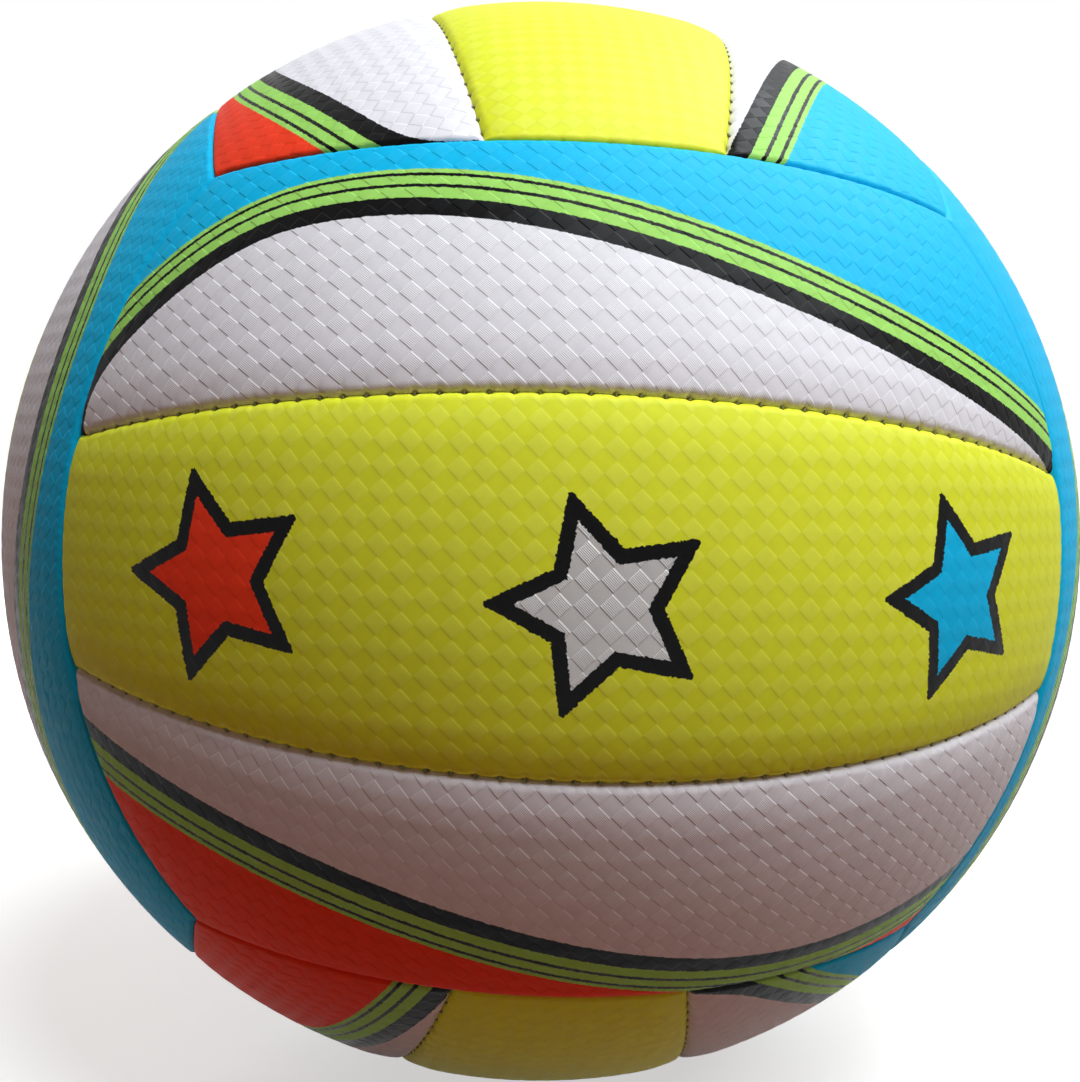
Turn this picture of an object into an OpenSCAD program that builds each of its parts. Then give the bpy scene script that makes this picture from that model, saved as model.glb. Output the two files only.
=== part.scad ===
// Volleyball of the regulation size, with a machine-sewn cover of eighteen strips.
// Six groups of three strips lie on the ball like the faces of a cube, each group's strips at right angles
// to those of its neighbours. A strip is a synthetic leather skin on foam and cloth, its edges turned in
// and sewn to the next strip. An inflated bladder with a needle valve fills the cover.
// Origin at the ball's centre, +Z up. The front group faces -Y and its strips run along X.

/* [Ball] */
// Diameter over the crowns of the panels
ball_d = 210; // [190:1:230]

/* [Panel layout] */
// Angle at the ball's centre from the middle of a group to the middle of its long edge
group_half_angle = 38.3; // [36:0.1:43]
// Angle from the middle of a group to its strip seam, half way along the strips
strip_mid_angle = 15.2; // [13:0.1:18]
// The same angle where the strip seam ends, at the edge of the next group
strip_end_angle = 10.1; // [8:0.1:12]

/* [Cover] */
// Thickness of the synthetic leather skin
skin_t = 0.7; // [0.5:0.05:1.2]
// Thickness of the foam under the skin
foam_t = 3.2; // [2:0.1:4.5]
// Thickness of the cloth lining under the foam
lining_t = 0.3; // [0.2:0.05:0.8]
// Thickness of the glue film between two bonded layers
glue_t = 0.1; // [0.05:0.01:0.2]
// Radius of the roll where a skin turns in at a seam
roll_r = 2.4; // [1.8:0.1:3.2]
// Gap between the turned-in edges of neighbouring skins
seam_gap = 0.3; // [0.2:0.05:0.5]
// Depth of the turned-in edges below the crown
turn_in = 4.2; // [3.4:0.1:5]

/* [Sewing thread] */
// Diameter of the sewing thread in the seam valleys
thread_d = 0.7; // [0.5:0.05:0.9]
// Clearance between the thread and the rolls that it lies on
thread_clear = 0.05; // [0.02:0.01:0.1]
// Distance from a thread's end to the end of its seam
thread_end = 4; // [3:0.5:8]

/* [Bladder] */
// Wall of the bladder
bladder_wall = 0.6; // [0.4:0.1:1.2]
// Clearance between the bladder and the cover
bladder_clear = 0.2; // [0.1:0.05:0.3]

/* [Valve] */
// Diameter of the valve housing's stem
stem_d = 9; // [8:0.5:12]
// Depth of the stem's end below the crown
stem_recess = 0.8; // [0.4:0.1:1.5]
// Length of the boss inside the bladder, below the flange
boss_l = 5; // [4:0.5:8]
// Diameter of the flange inside the bladder
flange_d = 26; // [20:1:34]
// Thickness of the flange
flange_t = 1.2; // [0.8:0.1:2]
// Clearance round the stem where it passes through the cover and the bladder
stem_clear = 0.2; // [0.1:0.05:0.3]
// Diameter of the valve core's plug
core_d = 5; // [4:0.1:5.5]
// Diameter of the core's head
core_head_d = 6.8; // [6.2:0.1:7.2]
// Thickness of the core's head
core_head_t = 1; // [0.6:0.1:1.5]
// Height of the bead that holds the core in the housing
core_bead_h = 1.5; // [1:0.1:2.5]
// Width of that bead beyond the plug
core_bead_w = 0.6; // [0.3:0.1:0.8]
// Clearance between the core and the housing
core_clear = 0.05; // [0.02:0.01:0.1]
// Diameter of the needle hole
needle_d = 2; // [1.6:0.1:2.4]
// Depth of the needle hole's straight wall
needle_l = 8; // [6:0.5:9]
// Length of the taper at the needle hole's closed end
needle_tip_l = 1; // [0.5:0.1:1.5]

/* [Hidden] */
$fn = 128;

// Colours of the strips, as printed: plain middle strips, and the outer colour of each outer strip
YELLOW = "#e2e83c";
BLUE = "#1f9ae0";
RED = "#e0301c";

// Name of each group, the turn that takes it from +Z to its place, its strips in order, and their colours
GROUPS = [
    ["front", [90, 0, 0], ["upper", "middle", "lower"], [BLUE, YELLOW, RED]],
    ["back", [90, 0, 180], ["upper", "middle", "lower"], [BLUE, YELLOW, RED]],
    ["top", [0, 0, 90], ["left", "middle", "right"], [RED, YELLOW, BLUE]],
    ["bottom", [180, 0, 90], ["right", "middle", "left"], [BLUE, YELLOW, RED]],
    ["right", [0, 90, 0], ["back", "middle", "front"], [RED, YELLOW, BLUE]],
    ["left", [0, -90, 0], ["back", "middle", "front"], [RED, YELLOW, BLUE]],
];
VALVE_GROUP = "right";
LAYERS = ["panel", "foam", "lining"];

// Radii of the layers, from the crown inwards
crown_r = ball_d / 2;
foam_r = crown_r - skin_t - glue_t;
lining_r = foam_r - foam_t - glue_t;
cover_t = crown_r - lining_r + lining_t;
bladder_r = crown_r - max(cover_t, turn_in) - bladder_clear;
flange_r = bladder_r - bladder_wall - glue_t;
reach = 2 * crown_r;

// A roll stands this much proud of the faces that it joins, which leaves a fine crease at each end of it
crease_h = 0.04;

// Every seam is a circle, cut by a plane. The plane's normal is tilted from the across direction of the group
// by the tilt, and the seam is seen from the ball's centre at the lift angle above the plane's own great circle.
// Groups meet in threes at the corners of a cube. Places on a ball of radius 1 are worked out first.
corner = 1 / sqrt(3);
edge_tilt = atan2(sin(group_half_angle) - corner, cos(group_half_angle) - corner);
edge_lift = group_half_angle - edge_tilt;
end_turn = acos(sin(edge_lift) / cos(strip_end_angle)) - edge_tilt;
end_along = cos(strip_end_angle) * sin(end_turn);
end_height = cos(strip_end_angle) * cos(end_turn);
seam_tilt = atan2(sin(strip_mid_angle) - sin(strip_end_angle), cos(strip_mid_angle) - end_height);
seam_lift = strip_mid_angle - seam_tilt;

// Distances of the seam planes from the ball's centre
edge_h = crown_r * sin(edge_lift);
seam_h = crown_r * sin(seam_lift);

// Valve heights along its own axis
stem_top = crown_r - stem_recess;
stem_base = flange_r - flange_t - boss_l;

function node_name(group, strip, layer) = str(group[0], "_", group[2][strip], "_", layer);

// Centre of the roll below a plane at plane_h, in the half plane [distance from the plane's axis, height]
function roll_centre(radius, plane_h, roll) =
    let (height = plane_h - roll + crease_h)
    [sqrt(pow(radius + crease_h - roll, 2) - pow(height, 2)), height];

// Centre of a thread in the valley of a seam at plane_h: on the rolls of both strips, or, where the seam's
// plane leans, between the turned-in edge of the lower strip and the roll of the upper one
function thread_centre(plane_h) =
    let (lower = roll_centre(crown_r, plane_h - seam_gap / 2, roll_r))
    let (mirrored = roll_centre(crown_r, -plane_h - seam_gap / 2, roll_r))
    let (upper = [mirrored.x, -mirrored.y])
    let (span = (upper - lower) / 2)
    let (space = thread_d / 2 + thread_clear)
    let (rise = sqrt(max(pow(roll_r + space, 2) - span * span, 0)))
    let (on_rolls = (upper + lower) / 2 + [span.y, -span.x] * rise / norm(span))
    let (face_h = plane_h - seam_gap / 2 + space)
    on_rolls.x > lower.x ? on_rolls :
    [upper.x + sqrt(pow(roll_r + space, 2) - pow(upper.y - face_h, 2)), face_h];

// All that lies below a seam plane at plane_h, with its rim rolled over towards a crown of the given radius.
// The plane's axis is Z.
module rolled_side(plane_h, radius, roll) {
    centre = roll_centre(radius, plane_h, roll);
    beyond = 1.5 * centre;
    rotate_extrude() {
        polygon([[0, -reach], [beyond.x, -reach], beyond, centre, [centre.x, plane_h], [0, plane_h]]);
        translate(centre) circle(roll);
    }
}

module plain_side(plane_h) translate([0, 0, plane_h - reach]) cylinder(r = reach, h = reach);

module strip_side(turn, plane_h, radius, roll) {
    rotate(turn) {
        if (roll > 0) rolled_side(plane_h, radius, roll);
        else plain_side(plane_h);
    }
}

// Part of a spherical shell inside the four seams round a strip, moved in by inset. A strip lies on +Z with
// its length along X: the middle strip on the axis, the outer strip towards +Y.
module strip_body(is_outer, radius, thickness, inset, roll) {
    intersection() {
        rotate([90, 0, 0]) difference() {
            sphere(radius);
            sphere(radius - thickness);
        }
        if (is_outer) strip_side([-90 - edge_tilt, 0, 0], edge_h - inset, radius, roll);
        else strip_side([-90 - seam_tilt, 0, 0], seam_h - inset, radius, roll);
        if (is_outer) strip_side([90 - seam_tilt, 0, 0], -seam_h - inset, radius, roll);
        else strip_side([90 + seam_tilt, 0, 0], seam_h - inset, radius, roll);
        strip_side([0, 180 - edge_tilt, 0], -edge_h - inset, radius, roll);
        strip_side([0, 180 - edge_tilt, 180], -edge_h - inset, radius, roll);
    }
}

// Leather skin of a strip: a shell with its four edges turned in
module skin(is_outer) {
    difference() {
        strip_body(is_outer, crown_r, turn_in, seam_gap / 2, roll_r);
        strip_body(is_outer, crown_r - skin_t, 2 * turn_in, seam_gap / 2 + skin_t, roll_r - skin_t);
    }
}

// Foam pad that fills the skin
module foam(is_outer) {
    inset = skin_t + glue_t;
    strip_body(is_outer, foam_r, foam_t, seam_gap / 2 + inset, roll_r - inset);
}

// Cloth lining under the foam pad
module lining(is_outer) {
    strip_body(is_outer, lining_r, lining_t, seam_gap / 2 + skin_t + glue_t, 0);
}

// Way of the valve stem through the cover and the bladder
module stem_hole() cylinder(d = stem_d + 2 * stem_clear, h = reach);

// One layer of one strip, in its place on the ball
module strip_layer(group, strip, layer) {
    is_outer = strip != 1;
    has_valve = group[0] == VALVE_GROUP && !is_outer;
    flip = strip == 2 ? 180 : 0;
    rotate(group[1]) rotate([0, 0, flip]) difference() {
        union() {
            if (layer == "panel") color(group[3][strip]) skin(is_outer);
            if (layer == "foam") color("Gainsboro") foam(is_outer);
            if (layer == "lining") color("Linen") lining(is_outer);
        }
        if (has_valve) stem_hole();
    }
}

// Thread in the valley of a seam. The seam ends at end_x from the middle, on a ball of radius 1.
module seam_thread(tilt, lift, end_x) {
    centre = thread_centre(crown_r * sin(lift));
    end_trim = thread_end / centre.x * 180 / PI;
    half_turn = asin(end_x / cos(lift)) - end_trim;
    rotate([-90 - tilt, 0, 0])
        rotate_extrude(angle = 2 * half_turn, start = -90 - half_turn)
            translate(centre) circle(d = thread_d);
}

module strip_seam_thread() {
    color("DimGray")
        for (group = GROUPS, flip = [0, 180])
            rotate(group[1]) rotate([0, 0, flip]) seam_thread(seam_tilt, seam_lift, end_along);
}

module group_seam_thread() {
    color("DimGray")
        for (group = GROUPS, flip = [0, 180])
            rotate(group[1]) rotate([0, 0, flip]) seam_thread(edge_tilt, edge_lift, corner);
}

module in_valve_place() {
    for (group = GROUPS) if (group[0] == VALVE_GROUP) rotate(group[1]) children();
}

module bladder() {
    color("DarkSlateGray") difference() {
        sphere(bladder_r);
        sphere(bladder_r - bladder_wall);
        in_valve_place() stem_hole();
    }
}

// Rubber housing: a stem through the bladder and the cover, with a flange bonded inside the bladder
module valve_housing() {
    bore_d = core_d + 2 * core_clear;
    seat_d = core_head_d + 2 * core_clear;
    seat_h = stem_top - core_head_t - core_clear;
    color("Black") in_valve_place() difference() {
        union() {
            translate([0, 0, stem_base]) cylinder(d = stem_d, h = stem_top - stem_base);
            difference() {
                intersection() {
                    sphere(flange_r);
                    cylinder(d = flange_d, h = reach);
                }
                sphere(flange_r - flange_t);
            }
        }
        cylinder(d = bore_d, h = reach);
        translate([0, 0, seat_h]) cylinder(d = seat_d, h = reach);
    }
}

// Soft core: a plug with a head, a bead that snaps below the housing, and a blind hole for the needle
module valve_core() {
    bead_d = core_d + 2 * core_bead_w;
    bead_top = stem_base - core_clear;
    color("DimGray") in_valve_place() difference() {
        union() {
            translate([0, 0, bead_top - core_bead_h])
                cylinder(d = core_d, h = stem_top - bead_top + core_bead_h);
            translate([0, 0, stem_top - core_head_t]) cylinder(d = core_head_d, h = core_head_t);
            translate([0, 0, bead_top - core_bead_h]) cylinder(d1 = core_d, d2 = bead_d, h = core_bead_h);
        }
        translate([0, 0, stem_top - needle_l]) cylinder(d = needle_d, h = reach);
        translate([0, 0, stem_top - needle_l - needle_tip_l])
            cylinder(d1 = needle_d / 4, d2 = needle_d, h = needle_tip_l);
    }
}

for (group = GROUPS, layer = LAYERS, strip = [0:2]) {
    strip_layer(group, strip, layer);
}
strip_seam_thread();
group_seam_thread();
bladder();
valve_housing();
valve_core();
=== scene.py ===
# Volleyball with a machine-sewn cover of eighteen strips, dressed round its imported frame.
# Each strip is a closed leather shell with rolled edges, sewn puckers and an embossed basket weave.
# The print is laid on by formulas in strip coordinates: along and across a strip, in millimetres.
# Lengths are metres, except where a name or a comment says millimetres.
from collections import namedtuple
from math import acos, asin, atan2, ceil, cos, hypot, pi, radians, sin, sqrt

import bpy
import numpy as np
from mathutils import Matrix, Vector


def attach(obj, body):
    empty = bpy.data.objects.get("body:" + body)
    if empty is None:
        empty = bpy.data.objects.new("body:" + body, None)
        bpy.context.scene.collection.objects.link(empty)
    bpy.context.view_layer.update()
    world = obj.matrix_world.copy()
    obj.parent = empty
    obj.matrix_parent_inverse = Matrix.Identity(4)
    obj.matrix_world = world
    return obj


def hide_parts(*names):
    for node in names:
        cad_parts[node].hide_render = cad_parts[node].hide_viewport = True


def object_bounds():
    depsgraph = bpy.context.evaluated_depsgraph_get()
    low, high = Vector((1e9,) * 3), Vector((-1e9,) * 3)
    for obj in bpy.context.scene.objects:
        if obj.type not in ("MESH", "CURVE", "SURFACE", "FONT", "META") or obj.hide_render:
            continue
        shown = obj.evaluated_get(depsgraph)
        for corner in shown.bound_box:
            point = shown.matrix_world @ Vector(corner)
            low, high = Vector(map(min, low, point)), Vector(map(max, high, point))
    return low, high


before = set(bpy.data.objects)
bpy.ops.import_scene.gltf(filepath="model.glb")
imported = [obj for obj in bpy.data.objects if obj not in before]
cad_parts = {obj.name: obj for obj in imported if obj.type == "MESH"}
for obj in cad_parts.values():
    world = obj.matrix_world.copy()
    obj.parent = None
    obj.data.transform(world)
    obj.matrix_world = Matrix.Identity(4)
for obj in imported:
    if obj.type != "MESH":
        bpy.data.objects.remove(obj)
cad_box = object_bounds()

MM = 0.001
TINY = 1e-12
BALL_R = (cad_box[1].z - cad_box[0].z) / 2

# Layout of the cover, as angles at the ball's centre
GROUP_HALF_ANGLE = radians(38.3)
STRIP_MID_ANGLE = radians(15.2)
STRIP_END_ANGLE = radians(10.1)

# Leather skin with rolled and turned-in edges
SKIN_T = 0.7 * MM
LEAST_SKIN = 0.15 * MM
SEAM_GAP = 0.03 * MM
OUTER_INSET = SEAM_GAP / 2
INNER_INSET = OUTER_INSET + SKIN_T
STRIP_ROLL_R = 1.6 * MM
GROUP_ROLL_R = 1.2 * MM
LEAST_ROLL_R = 0.2 * MM
ROLL_SWEEP = radians(58)
TURN_IN = 4.2 * MM
TURNED_IN_R = BALL_R - TURN_IN

# How far the stuffed strip falls away at its seams, and its slow unevenness: waves as steps along X, Y and Z
# over one radius of the ball, and phases
STRIP_PILLOW = 0.8 * MM
GROUP_PILLOW = 0.2 * MM
PILLOW_REACH = 8 * MM
DENT_DEPTH = 0.12 * MM
DENT_WAVES = (
    ((7.1, 2.3, 0.0), 0.4),
    ((0.0, 6.3, -3.1), 1.7),
    ((2.9, 0.0, 8.2), 2.6),
)

# Stitches: short ones that show in the seams of a group, and deep ones between the groups
Stitch = namedtuple("Stitch", "depth half_width sag")
STRIP_STITCH = Stitch(1.5 * MM, 0.4 * MM, 0.1 * MM)
GROUP_STITCH = Stitch(3.3 * MM, 0.5 * MM, 0.1 * MM)
STITCH_PITCH = 3.55 * MM
STITCH_END = 4 * MM
STITCH_RINGS = 9
STITCH_SIDES = 8
THREAD_R = 0.24 * MM
THREAD_TAPER = 0.5
TAPER_POWER = 4
# Turns of the thread's twist on half a stitch, and its strands
THREAD_TURNS = 2
THREAD_STRANDS = 2
# How a stitch pulls the leather in: depth, reach from the seam, and length along it
STRIP_PUCKER = 0.34 * MM
GROUP_PUCKER = STRIP_PUCKER / 4
PUCKER_REACH = 1.0 * MM
PUCKER_LENGTH = 0.45 * MM

# Valve hole, its strip, and the reach of the grid lines bent round it, in half widths of the hole
VALVE_STRIP = "right_middle"
HOLE_R = 4.7 * MM
HOLE_BLEND = 2.5

# Embossed basket weave: size of a cell, height, its level at the ball's surface, softness of its steps, and
# the width over which it fades at an edge
WEAVE_PITCH_MM = 3.62
WEAVE_H = 0.035 * MM
WEAVE_LEVEL = 0.6
WEAVE_SOFTNESS_MM = 0.12
WEAVE_FADE = 1.3 * MM
# One cell of it: sag of a ribbed strand, rise of a smooth one, bevels as shares of the cell, and ribs
RIBBED_SAG = 0.18
SMOOTH_RISE = 0.2
BEVEL_SIDE = 0.055
BEVEL_END = 0.06
BEVEL_END_FALL = 0.5
RIBS_PER_CELL = 10

# Grid of a shell: cell size outside, cells outside for one cell inside, rows of the turned-in edge
CELL = 0.38 * MM
COARSE = 4
EDGE_CROWDING = 0.72
EDGE_CROWD_CELLS = 5
FLANGE_ROWS = 3
# Corners: how sharply the deeper edge wins, passes that bring edges back to their planes, and reach of the
# upright part of a seam
CORNER_POWER = 4
CORNER_PASSES = 4
CORNER_REACH = 2.5 * MM

# Windows of the bake map as left, low, right and high: halves of the outer face, inner face, wall of the
# valve hole. The rows of the turned-in edge lie below them.
MAP_FRONT = ((0, 0.06, 1, 0.52), (0, 0.54, 1, 1))
MAP_BACK = (0, 0.042, 0.9, 0.058)
MAP_HOLE = (0.91, 0.042, 1, 0.058)
MAP_ROW_H = 0.008

# Print of an outer strip, in millimetres: a bell-shaped edge of the white field, then bands outside it
PRINT_BASE = -13.5
PRINT_RISE = 22.3
PRINT_PEAK = -46.0
PRINT_WIDTHS = (42.5, 72.0)
PRINT_TIP = (-92.0, 9.0, 3.5)
BLACK_BAND = 3.2
GREEN_BAND = 5.6
GREEN_LINES = (2.0, 4.2)
GREEN_LINE_W = 0.6
BAND_MARGIN = 1.0
# Strips whose print lies shifted: along, across, and the width of the bell's steep flank
PRINT_SHIFTS = {
    "front_lower": (0.0, 6.5, 90.0),
    "left_front": (12.0, -3.0, PRINT_WIDTHS[0]),
    "top_left": (13.5, 1.2, 64.0),
}
PRINT_UNSHIFTED = (0.0, 0.0, PRINT_WIDTHS[0])

# Stars on the middle strip of the front and back groups, in millimetres
STAR_TIPS = 5
STAR_PITCH = 58.3
STAR_TIP_R = 16.9
STAR_NOTCH_R = 8.6
STAR_BLUNT = 0.6
STAR_OUTLINE = 2.1
# Place of the middle star along and across, rise from star to star, and how far the outer ones lie above it
STAR_MIDDLE = (-1.3, -1.9)
STAR_RISE = 0.3
STAR_BOW = 1.2
STAR_GROUPS = ("front", "back")

# Colours, linear
WHITE = (0.83, 0.82, 0.87, 1)
BLACK = (0.0025, 0.0025, 0.003, 1)
GREEN = (0.36, 0.73, 0.14, 1)
YELLOW = (0.77, 0.83, 0.035, 1)
BLUE = (0.004, 0.50, 0.86, 1)
RED = (0.95, 0.055, 0.018, 1)
SILVER = (0.42, 0.40, 0.39, 1)
STAR_FILLS = (RED, SILVER, BLUE)

# Name of each group, the turn that takes it from +Z to its place, its strips from +Y to -Y, and their slots
GROUPS = [
    ("front", (90, 0, 0), ("upper", "middle", "lower"), ("blue", "yellow", "red")),
    ("back", (90, 0, 180), ("upper", "middle", "lower"), ("blue", "yellow", "red")),
    ("top", (0, 0, 90), ("left", "middle", "right"), ("red", "yellow", "blue")),
    ("bottom", (180, 0, 90), ("right", "middle", "left"), ("blue", "yellow", "red")),
    ("right", (0, 90, 0), ("back", "middle", "front"), ("red", "yellow", "blue")),
    ("left", (0, -90, 0), ("back", "middle", "front"), ("red", "yellow", "blue")),
]
FIRST, MIDDLE, LAST = range(3)

# Tilts and lifts of the seam planes, worked out on a ball of radius 1
CORNER = 1 / sqrt(3)
EDGE_TILT = atan2(sin(GROUP_HALF_ANGLE) - CORNER, cos(GROUP_HALF_ANGLE) - CORNER)
EDGE_LIFT = GROUP_HALF_ANGLE - EDGE_TILT
END_TURN = acos(sin(EDGE_LIFT) / cos(STRIP_END_ANGLE)) - EDGE_TILT
END_ALONG = cos(STRIP_END_ANGLE) * sin(END_TURN)
END_HEIGHT = cos(STRIP_END_ANGLE) * cos(END_TURN)
SEAM_TILT = atan2(sin(STRIP_MID_ANGLE) - sin(STRIP_END_ANGLE), cos(STRIP_MID_ANGLE) - END_HEIGHT)
SEAM_LIFT = STRIP_MID_ANGLE - SEAM_TILT
OUTER_MIDDLE_ANGLE = (STRIP_MID_ANGLE + GROUP_HALF_ANGLE) / 2


def norm(v):
    return np.linalg.norm(v, axis=-1)


def unit(v):
    return v / norm(v)[..., None]


def about_deepest(depths):
    """Depth where edges meet: about that of the deepest, with a smooth passage."""
    return (np.asarray(depths) ** CORNER_POWER).sum(0) ** (1 / CORNER_POWER)


# Seams

class Seam:
    """Plane of a seam: outward normal, distance from the centre, direction of its middle, form of the edges
    that meet in it, and the corners of three groups to which it runs."""

    def __init__(self, normal, lift, middle, in_group):
        self.normal = np.array(normal, float)
        self.height = BALL_R * sin(lift)
        self.circle_r = sqrt(BALL_R ** 2 - self.height ** 2)
        self.middle = np.array(middle, float)
        self.sideways = np.cross(self.normal, self.middle)
        self.roll = STRIP_ROLL_R if in_group else GROUP_ROLL_R
        self.pillow = STRIP_PILLOW if in_group else GROUP_PILLOW
        self.pucker = STRIP_PUCKER if in_group else GROUP_PUCKER
        self.corners = []

    def at(self, inset):
        """Distance of the plane from the centre when it is moved into the strip."""
        return self.height - inset

    def lean(self, base, points):
        """Distance by which the seam leaves its plane: near a corner of three groups it stands upright, so
        that the corner stays closed below the ball's surface."""
        near = sum(np.exp(-((base - corner) ** 2).sum(-1) / CORNER_REACH ** 2) for corner in self.corners)
        return near * self.height * (1 - norm(points) / BALL_R)


def strip_seams(is_outer):
    """Seams round a strip on +Z with its length along X: towards -Y, +Y, -X and +X."""
    tilt_c, tilt_s = cos(EDGE_TILT), sin(EDGE_TILT)
    seam_c, seam_s = cos(SEAM_TILT), sin(SEAM_TILT)
    ends = [Seam((side * tilt_s, 0, -tilt_c), -EDGE_LIFT, (side * tilt_c, 0, tilt_s), False)
            for side in (-1, 1)]
    if not is_outer:
        sides = [Seam((0, side * seam_c, -seam_s), SEAM_LIFT, (0, side * seam_s, seam_c), True)
                 for side in (-1, 1)]
        return sides + ends
    low = Seam((0, -seam_c, seam_s), -SEAM_LIFT, (0, seam_s, seam_c), True)
    high = Seam((0, tilt_c, -tilt_s), EDGE_LIFT, (0, tilt_s, tilt_c), False)
    high.corners = [meeting_point(high, end, 0, BALL_R) for end in ends]
    for end, corner in zip(ends, high.corners):
        end.corners = [corner]
    return [low, high] + ends


def meeting_point(a, b, inset, radius):
    """Point at the given radius where two seam planes meet."""
    line = np.cross(a.normal, b.normal)
    foot = np.linalg.solve([a.normal, b.normal, line], [a.at(inset), b.at(inset), 0])
    step = unit(line) * sqrt(radius ** 2 - foot @ foot)
    return foot + step if step[2] > 0 else foot - step


def seam_arc(seam, inset, start, end, places):
    """Points of a seam's circle from start to end, at places from 0 to 1."""
    centre = seam.normal * seam.at(inset)
    radius = norm(start - centre)
    first = (start - centre) / radius
    second = np.cross(seam.normal, first)
    turn = atan2((end - centre) @ second, (end - centre) @ first)
    angle = (places * turn)[:, None]
    return centre + radius * (np.cos(angle) * first + np.sin(angle) * second)


def crowded_places(length):
    """Places of a grid's lines from 0 to 1, closer at both ends. Their count suits the coarse grid."""
    half = COARSE * ceil(length / CELL / (2 * COARSE))
    steps = 1 - EDGE_CROWDING * np.exp(-np.arange(half) / EDGE_CROWD_CELLS)
    steps = np.concatenate([steps, steps[::-1]])
    return np.concatenate([[0], np.cumsum(steps)]) / steps.sum()


def strip_lines(is_outer):
    """Places of the grid's lines along and across a strip."""
    length = 2 * BALL_R * asin(END_ALONG)
    width = BALL_R * (GROUP_HALF_ANGLE - STRIP_MID_ANGLE if is_outer else 2 * STRIP_MID_ANGLE)
    return crowded_places(length), crowded_places(width)


def patch(seams, inset, radius, along, across):
    """Grid of points on a sphere, spanned between the four seams of a strip."""
    low, high, left, right = seams
    corners = {(x, y): meeting_point(y_seam, x_seam, inset, radius)
               for x, x_seam in enumerate((left, right)) for y, y_seam in enumerate((low, high))}
    bottom = seam_arc(low, inset, corners[0, 0], corners[1, 0], along)[:, None]
    top = seam_arc(high, inset, corners[0, 1], corners[1, 1], along)[:, None]
    start = seam_arc(left, inset, corners[0, 0], corners[0, 1], across)[None]
    stop = seam_arc(right, inset, corners[1, 0], corners[1, 1], across)[None]
    s = along[:, None, None]
    t = across[None, :, None]
    flat = (1 - t) * bottom + t * top + (1 - s) * start + s * stop
    flat = flat - (1 - s) * ((1 - t) * corners[0, 0] + t * corners[0, 1])
    flat = flat - s * ((1 - t) * corners[1, 0] + t * corners[1, 1])
    return unit(flat) * radius


# Shape of a shell

def roll_over(points, seam, inset, radius, roll):
    """Move of sphere points that rolls the strip's edge over into a seam's plane, and how far round the roll
    each point lies, from 0 to 1."""
    plane = seam.at(inset)
    height = points @ seam.normal
    level = points - height[..., None] * seam.normal
    distance = norm(level)
    latitude = np.arctan2(height, distance)
    edge = asin(plane / radius)
    finish = edge + ROLL_SWEEP
    centre_h = plane - roll * sin(finish)
    centre_d = sqrt((radius - roll) ** 2 - centre_h ** 2)
    start = atan2(centre_h, centre_d)
    share = np.clip((latitude - start) / (edge - start), 0, 1)
    angle = start + share * (finish - start)
    on_roll = share > 0
    move_d = np.where(on_roll, centre_d + roll * np.cos(angle) - distance, 0)
    move_h = np.where(on_roll, centre_h + roll * np.sin(angle) - height, 0)
    move = move_d[..., None] * level / distance[..., None] + move_h[..., None] * seam.normal
    return move, share


def rolled(base, seams, inset, radius, dip, thickness=0.0):
    """Sphere points with the strip's edges rolled over and let down by a dip. At a corner the two rolls share
    about the depth of one, and every edge stays in its seam's plane."""
    rolls = [roll_over(base, seam, inset, radius, max(seam.roll - thickness, LEAST_ROLL_R)) for seam in seams]
    moves = np.array([move for move, _ in rolls])
    sizes = norm(moves)[..., None]
    depth_share = about_deepest(sizes) / np.maximum(sizes.sum(0), TINY)
    points = base + depth_share * moves.sum(0) - unit(base) * dip[..., None]
    for seam, (move, share) in list(zip(seams, rolls)) * CORNER_PASSES:
        drift = (base + move - points) @ seam.normal - seam.lean(base, points)
        points = points + (share * drift)[..., None] * seam.normal
    return points


def edge_distance(points, seam):
    """Distance on the sphere from a seam's middle line, into the strip."""
    height = points @ seam.normal / norm(points)
    return BALL_R * (asin(seam.height / BALL_R) - np.arcsin(np.clip(height, -1, 1)))


def stitch_distance(points, seam):
    """Length along a seam from its nearest stitch. One stitch lies at the seam's middle."""
    place = seam.circle_r * np.arctan2(points @ seam.sideways, points @ seam.middle) / STITCH_PITCH
    return (place - np.round(place)) * STITCH_PITCH


def kept_inside(points, base, seams, inset):
    """Points moved back between the seams and out of the turned-in edge's end."""
    for seam in seams:
        excess = np.maximum(points @ seam.normal - seam.at(inset) + seam.lean(base, points), 0)
        points = points - excess[..., None] * seam.normal
    return points * np.maximum(1, (TURNED_IN_R + SEAM_GAP) / norm(points))[..., None]


def strip_coordinates(points, is_outer):
    """Millimetres along and across a strip, measured from the strip's own middle line."""
    turn = OUTER_MIDDLE_ANGLE if is_outer else 0
    n = unit(points)
    across = n[..., 1] * cos(turn) - n[..., 2] * sin(turn)
    outward = n[..., 1] * sin(turn) + n[..., 2] * cos(turn)
    scale = BALL_R / MM
    return scale * np.arctan2(n[..., 0], outward), scale * np.arcsin(np.clip(across, -1, 1))


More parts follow.
